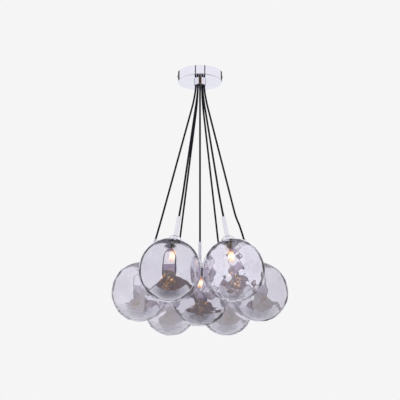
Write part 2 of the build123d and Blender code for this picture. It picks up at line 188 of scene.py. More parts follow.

# %% [markdown]
# ## The flexes
# A flex is a round cable in a braided black sleeve. It drops out of its bore, turns a little, runs dead
# straight under the ball's weight and goes down inside the stem. Its line is a smooth spline guided by
# given control points. A bevelled curve would make a plain tube of it, and a braid isn't plain, so the
# sleeve is a grid round that line, whose radius rises and falls where two sets of strands cross.

# %% Routes of the flexes
flex_diameter = 0.005
bore_circle = 0.011
mouth_height = -0.035
stem_top = 0.13878
socket_floor = 0.07668
straight_above_stem = 0.0607
near_stem = 0.030
# The two bends of a flex: how far outwards from the mouth of its bore, and how far down from it.
FRONT_ROUTE = ((0.0012, 0.014), (0.0070, 0.044))
SIDE_ROUTE = ((0.0010, 0.014), (0.0065, 0.047))
BACK_ROUTE = ((0.0008, 0.015), (0.0055, 0.053))
ROUTES = {
    "right": SIDE_ROUTE, "left": SIDE_ROUTE,
    "back_right": BACK_ROUTE, "back_left": BACK_ROUTE,
    "front_left": FRONT_ROUTE, "front_right": FRONT_ROUTE,
}
PULLED_IN = {"right": 0.005}
FIRST_BEND_SHARE = 0.3


def route_points(drop):
    """Control points of a flex, from the mouth of its bore to the foot of the stem's socket.

    A point is added near each end of the long run, as far from the bend as the point beyond the bend is. A
    flex that has been pulled in has a soft bend a little above its stem.
    """
    bore = bore_circle if drop.swings else 0.0
    mouth = drop.outward * bore + np.array([0.0, 0.0, mouth_height])
    end = drop.on_stem(socket_floor)
    above_stem = drop.on_stem(stem_top + near_stem)
    if not drop.swings:
        return [mouth, mouth + FIRST_BEND_SHARE * (above_stem - mouth), above_stem, end]
    bends = [mouth + drop.outward * out - np.array([0.0, 0.0, down]) for out, down in ROUTES[drop.name]]
    top_of_straight = drop.on_stem(stem_top + straight_above_stem)
    top_of_straight = top_of_straight - drop.across * PULLED_IN.get(drop.name, 0.0)
    run = top_of_straight - bends[-1]
    run /= np.linalg.norm(run)
    leaving = bends[-1] + run * np.linalg.norm(bends[-1] - bends[-2])
    arriving = top_of_straight - run * np.linalg.norm(top_of_straight - above_stem)
    return [mouth, *bends, leaving, arriving, top_of_straight, above_stem, end]


print("control points of a leaning flex:", len(route_points(drops[0])))

# %% From control points to a smooth line
SPLINE_STEPS = 64


def spline_line(points, name):
    """The smooth line of a spline with these control points, as an array of close points."""
    curve = bpy.data.curves.new(name, "CURVE")
    curve.dimensions = "3D"
    curve.resolution_u = SPLINE_STEPS
    spline = curve.splines.new("NURBS")
    spline.points.add(len(points) - 1)
    for control, point in zip(spline.points, points):
        control.co = (*point, 1.0)
    spline.order_u = 3
    spline.use_endpoint_u = True
    holder = bpy.data.objects.new(name, curve)
    bpy.context.scene.collection.objects.link(holder)
    bpy.context.view_layer.update()
    mesh = bpy.data.meshes.new_from_object(holder)
    line = mesh_points(mesh)
    bpy.data.objects.remove(holder)
    bpy.data.meshes.remove(mesh)
    return line


lines = {drop.name: spline_line(route_points(drop), "line_" + drop.name) for drop in drops}
for name, line in lines.items():
    length = float(np.linalg.norm(np.diff(line, axis=0), axis=1).sum())
    print(name, "points", len(line), "length", round(length, 4))

# %% Sleeve of the flexes
BRAID_SIDES = 32
BRAID_STEP = 0.0006
BRAID_COUNT = 8
BRAID_PITCH = 0.0048
BRAID_DEPTH = 0.00010
# Points of the line that are closer than this count as one.
SAME_POINT = 1e-7
SEAT_RINGS = 5


def braided_tube(line, side, radius):
    """Rings of a braided tube along a line that lies in one plane, whose normal is side.

    At angle a and length s, two sets of strands run as sin(n*a + k*s) and sin(n*a - k*s). The radius is the
    full one where a strand of either set is on top, and less by the depth in the hollow between four strands.
    The first rings shrink to a half sphere, which seats the flex in the mouth of its bore.
    """
    steps = np.linalg.norm(np.diff(line, axis=0), axis=1)
    along = np.concatenate([[0.0], np.cumsum(steps)])
    keep = np.concatenate([[True], steps > SAME_POINT])
    line, along = line[keep], along[keep]
    count = int(along[-1] / BRAID_STEP)
    s = np.linspace(0.0, along[-1], count)
    middle = np.stack([np.interp(s, along, line[:, k]) for k in range(3)], axis=1)
    tangent = np.gradient(middle, axis=0)
    tangent /= np.linalg.norm(tangent, axis=1)[:, None]
    normal = np.cross(side, tangent)
    angle = np.linspace(0.0, 2 * math.pi, BRAID_SIDES, endpoint=False)
    turn = BRAID_COUNT * angle[None, :] / 2
    climb = 2 * math.pi * s[:, None] / (2 * BRAID_PITCH)
    over = np.maximum(np.abs(np.sin(turn + climb)), np.abs(np.sin(turn - climb)))
    width = radius - BRAID_DEPTH * (1 - over)
    spoke = np.cos(angle)[None, :, None] * normal[:, None, :] + np.sin(angle)[None, :, None] * side
    rings = middle[:, None, :] + width[:, :, None] * spoke
    ball = np.linspace(math.pi / 2, 0.0, SEAT_RINGS + 2)[1:-1]
    seat = middle[0] - radius * np.sin(ball)[:, None, None] * tangent[0]
    seat = seat + radius * np.cos(ball)[:, None, None] * spoke[0]
    tips = (middle[0] - radius * tangent[0], middle[-1])
    return np.concatenate([seat, rings]), tips


print("braid's steps round and along:", BRAID_SIDES, "and", BRAID_STEP / MM, "mm")

# %% Build the flexes
flexes = []
for drop in drops:
    rings, (first_tip, last_tip) = braided_tube(lines[drop.name], drop.side, flex_diameter / 2)
    mesh = grid_mesh("flex_sleeve_" + drop.name, rings, first_tip, last_tip)
    sleeve = add_piece("flex_sleeve_" + drop.name, mesh, drop.body, "black_flex", "flex_" + drop.name)
    flexes.append(sleeve)
print("flexes:", len(flexes), "faces each:", len(flexes[0].data.polygons))

# %% [markdown]
# ## The glass balls
# Each ball is mouth-blown in a dimpled mould, so its face is a net of shallow flats that meet in soft
# ridges, and no two balls are quite alike. The flats are the cells round points scattered evenly over a
# sphere: near its own point a cell is pressed in, and it rises to the full size where it meets the next.
# The inner wall follows the outer one more softly, which makes each flat a weak lens. A bump texture could
# fake the flats, but it would leave the ball's outline perfectly round, so here they are real shape. One
# closed surface runs up the inside from the bottom, over the neck's rim, and down the outside.

# %% Cells of the dimples
BROAD_COUNT = 46
FINE_COUNT = 210
NUDGE = 0.35
DEEPEST = 1.3
# A hexagon's area over the square of the distance from its middle to a corner.
HEXAGON_AREA = 2.6


def scattered_points(count, seed):
    """Points spread evenly on the unit sphere along a spiral, then nudged a little at random."""
    random = np.random.default_rng(seed)
    step = np.arange(count) + 0.5
    height = 1 - 2 * step / count
    around = math.pi * (1 + math.sqrt(5)) * step + random.uniform(0, 2 * math.pi)
    flat = np.sqrt(1 - height**2)
    points = np.stack([flat * np.cos(around), flat * np.sin(around), height], axis=1)
    points += random.normal(0, NUDGE / math.sqrt(count), points.shape)
    return points / np.linalg.norm(points, axis=1)[:, None]


def dimple(directions, count, seed, softness):
    """How far a direction lies in its cell: 1 at the middle of the cell, and 0 where cells meet.

    It is one minus the squared distance to the nearest point over the squared reach of a cell. The nearest is
    taken softly, as the log of a sum of exponentials, so that ridges are rounded. That can take the value a
    little past 1, where it is capped.
    """
    points = scattered_points(count, seed)
    squared_reach = 4 * math.pi / count / HEXAGON_AREA
    squared = np.maximum(2 - 2 * directions @ points.T, 0)
    sharp = 1 / (softness * squared_reach)
    nearest = -np.log(np.exp(-sharp * squared).sum(-1)) / sharp
    return np.clip(1 - nearest / squared_reach, 0.0, DEEPEST)


for count in (BROAD_COUNT, FINE_COUNT):
    print("cells are about", round(4 * ball_radius / math.sqrt(count) / MM), "mm across")

# %% Ripples at the foot of a ball
RIPPLE_LENGTH = 0.125
RIPPLE_START = 0.15
RIPPLE_SPAN = 1.15
RIPPLE_BENDS = ((3, 1.3, 1), (5, 0.9, 2))


def ripple(directions, seed):
    """Wavy rings round a ball's foot: the sine of the angle from its lowest point over a ripple's length.

    Slow waves round the ball bend the rings: each has its count, its height and how many times the seed it is
    turned by. The rings fade out at the very bottom and towards the middle.
    """
    tilt = np.arccos(np.clip(-directions[..., 2], -1, 1))
    around = np.arctan2(directions[..., 1], directions[..., 0])
    bend = sum(height * np.sin(count * around + times * seed) for count, height, times in RIPPLE_BENDS)
    rings = np.sin(2 * math.pi * tilt / RIPPLE_LENGTH + bend)
    return rings * np.sin(np.clip((tilt - RIPPLE_START) / RIPPLE_SPAN, 0, 1) * math.pi) ** 2


print("ripples are", round(RIPPLE_LENGTH * ball_radius / MM, 1), "mm apart")

# %% How far the mould presses each ball in
DEEPER_BELOW = 0.8
FRONT_TO_BACK = 1.2
# Depths in mm of a ball's broad dimples, of its fine ones on the near and far side, and of its ripples,
# then its seed, the share of metal film, and how clear its glass is. How clear a ball is was set ball by
# ball as painted shade, which makes each ball as light or dark as it looks in its place in the cluster.
GLASS = {
    "front_left": (0.35, 0.08, 1.20, 0.00, 11, 0.68, 0.87),
    "front_right": (0.60, 1.10, 1.00, 0.00, 5, 0.58, 0.95),
    "left": (0.60, 0.40, 0.60, 0.34, 23, 0.38, 0.90),
    "right": (0.50, 0.25, 0.50, 0.08, 31, 0.42, 0.85),
    "back_left": (0.70, 0.50, 0.60, 0.40, 47, 0.38, 0.89),
    "back_right": (0.50, 0.30, 0.50, 0.20, 53, 0.38, 0.87),
    "centre": (0.60, 0.50, 1.20, 0.16, 67, 0.60, 0.84),
}


def pressed_in(directions, drop, softness):
    """How far in metres the mould presses a ball's face in: the sum of broad dimples, fine ones and ripples.

    The fine ones go over from one depth to another between the side near the viewer and the far side. Dimples
    grow with the depth below the ball's middle, because the glass sags into the mould's foot.
    """
    broad, near, far, rings, seed = GLASS[drop.name][:5]
    backwards = directions @ np.array([drop.across[1], drop.side[1], drop.up[1]])
    fine = near + (far - near) * np.clip(0.5 + FRONT_TO_BACK * backwards, 0, 1)
    depth = broad * dimple(directions, BROAD_COUNT, seed, softness)
    depth += fine * dimple(directions, FINE_COUNT, seed + 1, softness)
    depth *= 1 + DEEPER_BELOW * np.clip(-directions[..., 2], 0, 1)
    return MM * (depth + rings * (1 + ripple(directions, seed)))


print("balls with their own relief:", len(GLASS))

# %% The two faces of a ball's wall
glass_wall = 0.0022
neck_radius = 0.0124
neck_wall = 0.0022
neck_top = 0.07905
AROUND = 192
DOWN = 120
NECK_ROWS = 5
FADE_SPAN = 0.35
# How sharply the upper arc goes over to the lower one in the middle of the ball.
BAND_EDGE = 12
# The outer face and the inner one: depth under the outside, radius of the rim, share and softness of
# dimples.
FACES = ((0.0, neck_radius, 1.0, 0.28), (glass_wall, neck_radius - neck_wall, 0.55, 0.5))


def ball_profile(wall, rim):
    """Rows of (radius, height, share of dimple) from the neck's rim down to just above the bottom.

    The upper and the lower arc are circles round two centres a short band apart. Dimples fade out towards the
    neck.
    """
    radius = ball_radius - wall
    start = math.asin(rim / radius)
    tilt = np.linspace(start, math.pi, DOWN + 1)[:-1]
    across = radius * np.sin(tilt)
    height = radius * np.cos(tilt) + band_half * np.clip(np.cos(tilt) * BAND_EDGE, -1, 1)
    fade = np.clip((tilt - start) / FADE_SPAN, 0, 1)
    fade = fade * fade * (3 - 2 * fade)
    neck = np.linspace(neck_top, height[0], NECK_ROWS + 1)[:-1]
    return (
        np.concatenate([np.full(NECK_ROWS, rim), across]),
        np.concatenate([neck, height]),
        np.concatenate([np.zeros(NECK_ROWS), fade]),
    )


def ball_faces(drop):
    """The outer and the inner face of a ball: rows of points from the rim down, and the lowest height.

    The profile is turned round the stem, and each point then moves towards the ball's middle as far as the
    mould presses it in.
    """
    around = np.linspace(0, 2 * math.pi, AROUND, endpoint=False)
    bottom = np.array([[0.0, 0.0, -1.0]])
    faces = []
    for wall, rim, share, softness in FACES:
        across, height, fade = ball_profile(wall, rim)
        spot = np.stack([
            across[:, None] * np.cos(around),
            across[:, None] * np.sin(around),
            np.repeat(height[:, None], AROUND, axis=1),
        ], axis=-1)
        direction = spot / np.linalg.norm(spot, axis=-1, keepdims=True)
        pressed = share * pressed_in(direction, drop, softness) * fade[:, None]
        low = -(ball_radius - wall + band_half) + share * pressed_in(bottom, drop, softness)[0]
        faces.append((spot - direction * pressed[..., None], low))
    return faces


print("rows down a face:", NECK_ROWS + DOWN, "and points round it:", AROUND)

# %% Build the balls
def closed_ball(drop):
    """The mesh of one ball: up its inner face from the bottom, over the rim, and down its outer face."""
    (outer, outer_low), (inner, inner_low) = ball_faces(drop)
    rings = np.concatenate([inner[::-1], outer])
    tips = drop.on_stem(inner_low), drop.on_stem(outer_low)
    mesh = grid_mesh("glass_" + drop.name, drop.place(rings), *tips)
    is_outer = np.zeros(len(mesh.vertices), np.float32)
    is_outer[len(inner) * AROUND:len(rings) * AROUND] = 1.0
    is_outer[-1] = 1.0
    mesh.attributes.new("outer_face", "FLOAT", "POINT").data.foreach_set("value", is_outer)
    return mesh


balls = {}
for drop in drops:
    balls[drop.name] = add_piece("glass_ball_" + drop.name, closed_ball(drop), "globe_" + drop.name,
                                 "smoked_glass", "globe_" + drop.name)
print("balls:", len(balls), "faces each:", len(balls["centre"].data.polygons))

# %% [markdown]
# ## The lamps
# A two-pin capsule lamp is a small glass finger on a pressed flat foot, with a fine coil across it for a
# filament. The finger could be a stretched sphere, but a turned profile gives its straight side and its
# short cone. The foot is a squared-off oval, and the coil a thin tube along a helix.

# %% The capsule
pinch_top = 0.06228
pinch_length = 0.013
capsule_radius = 0.00675
capsule_length = 0.032
capsule_overlap = 0.0009
capsule_top = pinch_top - pinch_length + capsule_overlap
capsule_tip = capsule_top - capsule_length
# Where the capsule leaves the foot: radius, and depth under the capsule's top.
CAPSULE_NECK = ((0.0040, 0.0), (0.0058, 0.0006), (capsule_radius, 0.0024))
STRAIGHT_FROM = 0.004
STRAIGHT_ROWS = 12
TIP_ROWS = 12
CAPSULE_SIDES = 32


def turned(name, drop, profile, sides, tips):
    """A surface turned round a drop's stem: profile rows are (radius, height), tips are two heights."""
    around = np.linspace(0, 2 * math.pi, sides, endpoint=False)
    radius, height = profile[:, 0, None], profile[:, 1, None]
    local = np.stack([radius * np.cos(around), radius * np.sin(around), np.repeat(height, sides, 1)], axis=-1)
    return grid_mesh(name, drop.place(local), *[drop.on_stem(tip) for tip in tips])


def capsule_mesh(drop):
    """The capsule: a short cone out of the foot, a straight side, and a half-round tip."""
    tilt = np.linspace(0, math.pi / 2, TIP_ROWS + 2)[1:-1]
    tip_centre = capsule_tip + capsule_radius
    neck = np.array([[radius, capsule_top - depth] for radius, depth in CAPSULE_NECK])
    straight = np.linspace(capsule_top - STRAIGHT_FROM, tip_centre, STRAIGHT_ROWS)
    side = np.stack([np.full(STRAIGHT_ROWS, capsule_radius), straight], axis=1)
    round_tip = np.stack([np.cos(tilt), -np.sin(tilt)], axis=1) * capsule_radius + [0.0, tip_centre]
    profile = np.concatenate([neck, side, round_tip])
    return turned("capsule_" + drop.name, drop, profile, CAPSULE_SIDES, (capsule_top, capsule_tip))


print("capsule's top and tip:", round(capsule_top / MM, 1), "and", round(capsule_tip / MM, 1), "mm")

# %% The foot
pinch_half_width = 0.0062
pinch_half_thickness = 0.0023
FOOT_WAIST = 0.10
FOOT_CORNER = 0.28
FOOT_ROWS = 10
FOOT_SIDES = 32


def foot_mesh(drop):
    """The pressed foot: an oval whose cosine and sine are raised to a small power, which squares it off.

    It is a little thinner at half its height, by the square of a sine.
    """
    angle = np.linspace(0, 2 * math.pi, FOOT_SIDES, endpoint=False)
    height = np.linspace(pinch_top, pinch_top - pinch_length, FOOT_ROWS)
    waist = 1 - FOOT_WAIST * np.sin(np.linspace(0, math.pi, FOOT_ROWS)) ** 2
    across = pinch_half_width * np.sign(np.cos(angle)) * np.abs(np.cos(angle)) ** FOOT_CORNER
    side = pinch_half_thickness * np.sign(np.sin(angle)) * np.abs(np.sin(angle)) ** FOOT_CORNER
    local = np.stack([
        np.repeat(across[None, :], FOOT_ROWS, 0),
        side[None, :] * waist[:, None],
        np.repeat(height[:, None], FOOT_SIDES, 1),
    ], axis=-1)
    tips = drop.on_stem(height[0]), drop.on_stem(height[-1])
    return grid_mesh("foot_" + drop.name, drop.place(local), *tips)


print("foot:", [round(2 * half / MM, 1) for half in (pinch_half_width, pinch_half_thickness)], "mm")

# %% The filament
filament_height = 0.0339
filament_half = 0.0030
coil_turns = 9
coil_steps = 12
coil_radius = 0.0008
coil_wire_radius = 0.00022
COIL_SIDES = 6
# A direction that no tube here follows.
CROSSWISE = (0.31, 0.77, 0.55)


def tube_mesh(name, path, radius, sides):
    """A plain tube round a path: circles in the plane across its direction, with a point closing each end.

    The circle's own two directions are square to the path's, and come from two cross products.
    """
    tangent = np.gradient(path, axis=0)
    tangent /= np.linalg.norm(tangent, axis=1)[:, None]
    normal = np.cross(tangent, CROSSWISE)
    normal /= np.linalg.norm(normal, axis=1)[:, None]
    other = np.cross(tangent, normal)
    angle = np.linspace(0, 2 * math.pi, sides, endpoint=False)[None, :, None]
    spoke = np.cos(angle) * normal[:, None, :] + np.sin(angle) * other[:, None, :]
    return grid_mesh(name, path[:, None, :] + radius * spoke, path[0], path[-1])


def filament_mesh(drop):
    """The coil: a line across the lamp, round which the other two directions turn as cosine and sine."""
    t = np.linspace(0, 1, coil_turns * coil_steps)
    turn = 2 * math.pi * coil_turns * t
    local = np.stack([
        filament_half * (2 * t - 1),
        coil_radius * np.cos(turn),
        filament_height + coil_radius * np.sin(turn),
    ], axis=1)
    return tube_mesh("filament_" + drop.name, drop.place(local), coil_wire_radius, COIL_SIDES)


print("coil of", coil_turns, "turns,", round(filament_height / MM, 1), "mm up the stem")

# %% Build the lamps
pin_spread = 0.0045
pin_radius = 0.0008
pin_length = 0.0055
pin_overlap = 0.001
PIN_ROWS = 8
PIN_SIDES = 16

lamps = {}
for drop in drops:
    body = "lamp_" + drop.name
    lamps[drop.name] = add_piece("lamp_capsule_" + drop.name, capsule_mesh(drop), body, "lamp_glass", body)
    add_piece("lamp_foot_" + drop.name, foot_mesh(drop), body, "lamp_glass")
    add_piece("lamp_filament_" + drop.name, filament_mesh(drop), body, "lamp_glass")
    for sign in (1, -1):
        heights = np.linspace(pinch_top - pin_overlap, pinch_top + pin_length, PIN_ROWS)
        path = np.stack([np.full(PIN_ROWS, sign * pin_spread), np.zeros(PIN_ROWS), heights], axis=1)
        name = f"lamp_pin_{'a' if sign > 0 else 'b'}_{drop.name}"
        add_piece(name, tube_mesh(name, drop.place(path), pin_radius, PIN_SIDES), body, "zinc_steel")
print("lamps:", len(lamps))

# %% [markdown]
# ## Writing materials as sums
# A material is a small calculation that runs at each point of a surface. Wiring it node by node takes many
# lines, so a value here is wrapped in a class that answers to +, -, * and /, on either side of a number,
# and each sum adds its own node.

# %% Helper: a node's output as a Python value
class Value:
    """A node's output that can be added, subtracted, multiplied and divided like a number."""

    def __init__(self, graph, socket):
        self.graph, self.socket = graph, socket

    def maths(self, operation, *others):
        """One Math node on this value and others."""
        return self.graph.maths(operation, self, *others)

    def __add__(self, other):
        return self.maths("ADD", other)

    def __sub__(self, other):
        return self.maths("SUBTRACT", other)

    def __mul__(self, other):
        return self.maths("MULTIPLY", other)

    def __truediv__(self, other):
        return self.maths("DIVIDE", other)

    __radd__, __rmul__ = __add__, __mul__

    def __rsub__(self, other):
        return self.graph.maths("SUBTRACT", other, self)

    def __rtruediv__(self, other):
        return self.graph.maths("DIVIDE", other, self)

    def __neg__(self):
        return self * -1

    def ramp(self, start, end, low=0.0, high=1.0):
        """A smooth step from low, before start, to high, after end."""
        settings = {"interpolation_type": "SMOOTHSTEP"}
        inputs = {"Value": self, "From Min": start, "From Max": end, "To Min": low, "To Max": high}
        return self.graph.node("ShaderNodeMapRange", settings, inputs)

    def fall(self, start, end):
        """A smooth step down from 1, before start, to 0, after end."""
        return 1 - self.ramp(start, end)

    def larger(self, other):
        """The larger of two values, which joins two masks."""
        return self.maths("MAXIMUM", other)


print("helper ready: Value")

# %% Helper: a tree of nodes
# A Mix node has one socket of a name for each kind of data. These are the numbers of the colour ones.
MIX_FACTOR, MIX_FIRST, MIX_SECOND, MIX_RESULT = 0, 6, 7, 2


class Graph:
    """A node tree that is written node by node."""

    def __init__(self, tree):
        self.tree = tree

    def node(self, kind, settings=None, inputs=None, output=0):
        """Add a node: settings first, then a value or a link for each socket named in inputs."""
        made = self.tree.nodes.new(kind)
        for name, setting in (settings or {}).items():
            setattr(made, name, setting)
        for name, value in (inputs or {}).items():
            if isinstance(value, Value):
                self.tree.links.new(value.socket, made.inputs[name])
            else:
                made.inputs[name].default_value = value
        return Value(self, made.outputs[output])

    def maths(self, operation, *values):
        """One Math node on values or numbers, in their order."""
        return self.node("ShaderNodeMath", {"operation": operation}, dict(enumerate(values)))

    def blend(self, factor, first, second):
        """The first colour where the factor is 0, and the second where it is 1."""
        colours = [c if isinstance(c, Value) else (*c, 1.0) for c in (first, second)]
        inputs = {MIX_FACTOR: factor, MIX_FIRST: colours[0], MIX_SECOND: colours[1]}
        return self.node("ShaderNodeMix", {"data_type": "RGBA"}, inputs, MIX_RESULT)

    def noise(self, place, scale, detail=2.0, roughness=0.5):
        """Soft random values from 0 to 1 over a place."""
        inputs = {"Vector": place, "Scale": scale, "Detail": detail, "Roughness": roughness}
        return self.node("ShaderNodeTexNoise", inputs=inputs)

    def place(self):
        """Object coordinates, in metres."""
        return self.node("ShaderNodeTexCoord", output="Object")


print("helper ready: Graph")

# %% Helpers: materials
def new_material(name, **fixed):
    """A material with one Principled shader, whose fixed sockets are set here, its graph and the shader."""
    material = bpy.data.materials.new(name)
    material.use_nodes = True
    shader = material.node_tree.nodes["Principled BSDF"]
    for socket, value in fixed.items():
        name = socket.replace("_", " ")
        shader.inputs[name].default_value = (*value, 1.0) if isinstance(value, tuple) else value
    return material, Graph(material.node_tree), shader


def feed(graph, shader, **links):
    """Link varying values to the shader's sockets."""
    for socket, value in links.items():
        graph.tree.links.new(value.socket, shader.inputs[socket.replace("_", " ")])


def dress(material, *names):
    """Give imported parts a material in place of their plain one."""
    for name in names:
        mesh = frame["nodes"][name].data
        mesh.materials.clear()
        mesh.materials.append(material)


print("helpers ready: new_material, feed, dress")

# %% [markdown]
# ## The studio
# Glass and chrome show what stands round them more than their own colour. Round this object the photograph
# has a white backdrop behind it, tall soft white panels to both sides of the camera, and between them, past
# two thin dark gaps, a dim zone round the camera, with one more panel above it. On the floor lies pale
# paper, which ends in front at a dark studio floor, and the ceiling is dark. Real panels could stand there,
# but a world that is painted by direction gives the same reflections with less noise. What is seen through
# glass is the plain backdrop, and so is what the camera sees past the object. Everything else gets one
# plain, even light. A pale disc far below stands in for the floor, and reflections leave it out.
#
# A direction is told by a few angles and slopes. Each mask is a soft step over one of them, from 0 to 1,
# and each pair of numbers is where the step starts and where it ends.

# %% Directions round the object, in degrees
# The middle of the camera's zone lies this far to the left.
CAMERA_SIDE = 1.35
degree = math.pi / 180
world = bpy.data.worlds.new("studio")
world.use_nodes = True
bpy.context.scene.world = world
g = Graph(world.node_tree)
direction = g.node("ShaderNodeTexCoord", output="Generated")
x, y, z = [g.node("ShaderNodeSeparateXYZ", inputs={"Vector": direction}, output=axis) for axis in "XYZ"]

# How far round from the middle of the camera's zone, how far off the line to the viewer, and how far up.
away = (x.maths("ARCTAN2", -y) / degree + CAMERA_SIDE).maths("ABSOLUTE")
off_axis = (-y).maths("ARCCOSINE") / degree
rise = z.maths("ARCSINE") / degree
print("nodes for the directions:", len(world.node_tree.nodes))

# %% Panels, and the backdrop behind the object
PANEL = (0.92, 0.91, 0.98)
FRONT_DIM = (0.28, 0.22, 0.32)
GAP = (0.02, 0.02, 0.03)
BEHIND = (0.89, 0.89, 0.96)
TOP_PANEL_LOW = (19.5, 21.8)
TOP_PANEL_HIGH = (58, 64)
GAP_INNER = (21, 22)
GAP_OUTER = (26, 27)
BACKDROP_EDGE = (149, 154)

front = g.blend(rise.ramp(*TOP_PANEL_LOW) * rise.fall(*TOP_PANEL_HIGH), FRONT_DIM, PANEL)
inside = away.fall(*GAP_INNER)
panels = g.blend(inside, PANEL, front)
panels = g.blend(away.ramp(*GAP_INNER) * away.fall(*GAP_OUTER), panels, GAP)
panels = g.blend(off_axis.ramp(*BACKDROP_EDGE), panels, BEHIND)
print("the camera's zone is", 2 * GAP_INNER[0], "degrees wide")

# %% Foot of the panels
# The foot of a panel is a level line beside the camera. Seen from the object it lies at a fixed share of
# how far a direction goes sideways and forwards, and the right panel's foot is higher than the left one's.
FOOT_SIDEWAYS = 0.99
FOOT_FORWARDS = 0.14
FOOT_LEFT = -0.88
FOOT_RIGHT = -0.62
LEFT_TO_RIGHT = (-0.05, 0.05)

foot_share = x.ramp(*LEFT_TO_RIGHT, FOOT_LEFT, FOOT_RIGHT)
under_foot = (x.maths("ABSOLUTE") * FOOT_SIDEWAYS - y * FOOT_FORWARDS) * foot_share - z
print("the feet slope", FOOT_LEFT, "on the left and", FOOT_RIGHT, "on the right")

# %% Paper, and the dark floor in front of it
# The dark floor also shows as a strip under the feet of the panels.
DARK_FLOOR = (0.09, 0.055, 0.030)
PAPER = (0.19, 0.19, 0.215)
FAR_PAPER = (0.78, 0.78, 0.84)
PAPER_FADE = (-84, -26)
PAPER_EDGE = (-28, -22)
PAPER_FRONT = (115, 130)
FRONT_BACK_EDGE = (125, 140)
FRONT_FOOT = (-5, -3)
FOOT_EDGE = (0, 0.04)
STRIP_EDGE = (0.04, 0.08)
RIGHT_STRIP_SHARE = 0.34
FLOOR_TILT = 0.2
FLOOR_EDGE = (-0.04, 0.04)

front_half = away.fall(*FRONT_BACK_EDGE)
strip_depth = under_foot * x.ramp(*LEFT_TO_RIGHT, 1.0, RIGHT_STRIP_SHARE)
near_floor = (-y + z * FLOOR_TILT).ramp(*FLOOR_EDGE)
paper = g.blend(rise.ramp(*PAPER_FADE), PAPER, FAR_PAPER)
ground = g.blend(near_floor.larger(strip_depth.fall(*STRIP_EDGE) * front_half), paper, DARK_FLOOR)
low_front = under_foot.ramp(*FOOT_EDGE).larger(inside * rise.fall(*FRONT_FOOT)) * front_half
below = low_front.larger(rise.fall(*PAPER_EDGE) * away.ramp(*PAPER_FRONT))
seen = g.blend(below, panels, ground)
print("the paper's tone runs from", PAPER, "to", FAR_PAPER)

# %% Gaps beside the backdrop, and the ceiling
SIDE_GAP = (0.06, 0.05, 0.05)
CEILING = (0.05, 0.045, 0.06)
SIDE_GAP_INNER = (128, 132)
SIDE_GAP_OUTER = (148, 152)
SIDE_GAP_FOOT = (-42, -30)
CEILING_EDGE = (72, 80)
BACK_CEILING_EDGE = (34, 52)
BACK_CEILING_SIDE = (130, 152)

side_gap = off_axis.ramp(*SIDE_GAP_INNER) * off_axis.fall(*SIDE_GAP_OUTER) * rise.ramp(*SIDE_GAP_FOOT)
seen = g.blend(side_gap, seen, SIDE_GAP)
back_ceiling = rise.ramp(*BACK_CEILING_EDGE) * away.ramp(*BACK_CEILING_SIDE)
seen = g.blend(rise.ramp(*CEILING_EDGE).larger(back_ceiling), seen, CEILING)
print("the ceiling starts at", CEILING_EDGE[0], "degrees, and at", BACK_CEILING_EDGE[0], "behind the object")

# %% What each kind of ray sees
BACKDROP = (0.915, 0.915, 0.92)
PLAIN_LIGHT = (0.86, 0.86, 0.87)
reflected, straight, refracted = [
    g.node("ShaderNodeLightPath", output=name)
    for name in ("Is Glossy Ray", "Is Camera Ray", "Is Transmission Ray")
]
shown = g.blend(reflected, PLAIN_LIGHT, seen)
shown = g.blend(straight.larger(refracted), shown, BACKDROP)
world.node_tree.links.new(shown.socket, world.node_tree.nodes["Background"].inputs["Color"])
print("world nodes:", len(world.node_tree.nodes))

# %% Floor
floor_height = -2.4
floor_radius = 1.2
floor_sides = 96
angle = np.linspace(0, 2 * math.pi, floor_sides, endpoint=False)
level = np.full(floor_sides, floor_height)
disc = np.stack([floor_radius * np.cos(angle), floor_radius * np.sin(angle), level], axis=-1)
floor = bpy.data.objects.new("floor", grid_mesh("floor", disc[None], None, (0.0, 0.0, floor_height)))
bpy.context.scene.collection.objects.link(floor)
floor.data.materials.append(new_material("pale_floor", Base_Color=(0.9, 0.9, 0.9), Roughness=0.9)[0])
floor.visible_glossy = False
print("floor at", floor_height, "m")

# %% [markdown]
# ## Smoked, half-mirrored glass
# The balls are tinted glass with a thin metal film on the outside, which throws a part of the light back
# and lets the rest in. One Principled shader does both: Metallic is the share of the film, from under 0.4
# to nearly 0.7 from ball to ball, and the rest is glass that bends the light. The film is only on the outer
# face, which an attribute on the mesh marks. The tint drifts a little over a ball, and is weakest in blue.
# Each ball's tint is also made lighter or darker as a whole, which is painted shade for the ball's place in
# the cluster.

# %% Glass
GLASS_IOR = 1.47
CLOUD_SCALE = 22.0
CLOUD_EDGES = (0.35, 0.7)
DARKER = (-0.03, -0.045, -0.005)
LIGHTER = (0.015, 0.005, 0.045)


def smoked_glass(name):
    """The glass of one ball. Film and tint differ from ball to ball, and the tint's lightness is painted
    shade for the ball's place in the cluster.
    """
    # clear holds painted shade: each ball's tint is made lighter or darker for its place in the cluster.
    film, clear = GLASS[name][5:]
    material, g, shader = new_material(
        "smoked_glass_" + name, Roughness=0.0, Transmission_Weight=1.0, IOR=GLASS_IOR)
    outer = g.node("ShaderNodeAttribute", {"attribute_name": "outer_face"}, output="Fac")
    cloud = g.noise(g.place(), CLOUD_SCALE, detail=3.0)
    darker, lighter = [tuple(clear + shift for shift in shifts) for shifts in (DARKER, LIGHTER)]
    feed(g, shader, Base_Color=g.blend(cloud.ramp(*CLOUD_EDGES), darker, lighter), Metallic=film * outer)
    return material


for name, ball in balls.items():
    ball.data.materials.append(smoked_glass(name))
print("glass finishes:", len(balls))

# %% [markdown]
# ## The lamps' glow
# A lit lamp of this kind is brightest round its filament and turns amber towards its ends. A point light in
# each would do, but behind so many faces of glass it would render as noise. So the lamp's own glass glows,
# and an attribute on the mesh says how near the filament each point is: it falls as the exponential of
# minus the squared distance along the stem.

